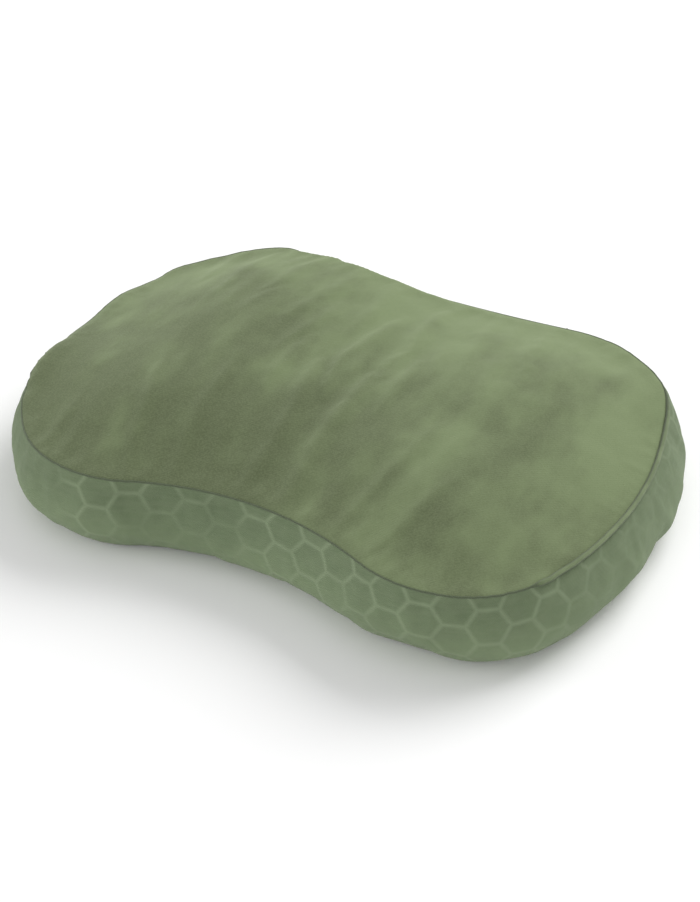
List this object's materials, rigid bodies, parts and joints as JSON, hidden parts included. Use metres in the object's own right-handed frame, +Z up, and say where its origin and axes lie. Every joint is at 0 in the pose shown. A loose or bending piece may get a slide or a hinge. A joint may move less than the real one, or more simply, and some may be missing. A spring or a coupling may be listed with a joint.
{
  "type": "camp pillow",
  "caption": "Boxed hourglass camp pillow: brushed crowned top, honeycomb-patterned wall, and a zipped cover over an inner bag of loose foam.",
  "frame": {"origin": "on the resting surface, under the middle of the pillow's box", "axes": "+X along the length, +Y towards the back wall with the zip, +Z up from the resting surface"},
  "size_m": [0.42, 0.2837, 0.0837],
  "materials": {
    "foam": "loose shredded open-cell foam, matte cream",
    "inner_fabric": "thin plain-weave polyester, pale grey-green",
    "top_fabric": "brushed microfibre, moss green, soft sheen",
    "wall_fabric": "woven polyester with a tonal honeycomb, moss green",
    "base_fabric": "plain woven polyester, dark green",
    "seam_fabric": "folded self fabric along the seam",
    "zip_tape": "herringbone-woven zip tape, dark green",
    "zip_coil": "polyester coil, satin",
    "zip_stop": "moulded stop, satin",
    "thread": "polyester sewing thread, tonal green",
    "slider_metal": "die-cast zinc, painted dark green, semi-gloss",
    "label_fabric": "blank satin ribbon label"
  },
  "bodies": {
    "pillow": {"foam_fill": "foam", "inner_bag_top": "inner_fabric", "inner_bag_band": "inner_fabric", "inner_bag_base": "inner_fabric", "top_panel": "top_fabric", "front_wall": "wall_fabric", "back_wall_upper": "wall_fabric", "back_wall_lower": "wall_fabric", "base_panel": "base_fabric", "top_seam_welt": "seam_fabric", "base_seam_welt": "seam_fabric", "side_seam_left": "seam_fabric", "side_seam_right": "seam_fabric", "zip_tape_upper": "zip_tape", "zip_tape_lower": "zip_tape", "zip_coil_upper": "zip_coil", "zip_coil_lower": "zip_coil", "zip_top_stop_upper": "zip_stop", "zip_top_stop_lower": "zip_stop", "zip_bottom_stop": "zip_stop", "zip_stitching_upper": "thread", "zip_stitching_lower": "thread", "care_label": "label_fabric"},
    "slider": {"zip_slider": "slider_metal"},
    "pull": {"zip_pull": "slider_metal"}
  },
  "joints": [
    {"name": "zip_slide", "type": "hinge", "parent": "pillow", "child": "slider", "pos_m": [0, 1.0949, 0.027], "axis": [0, 0, -1], "range_deg": [0, 8.91], "deforming": ["zip_coil_upper", "zip_coil_lower"]},
    {"name": "zip_pull_flip", "type": "hinge", "parent": "slider", "child": "pull", "pos_m": [0.07414, 0.13967, 0.027], "axis": [0, 0, -1], "range_deg": [0, 175]}
  ]
}
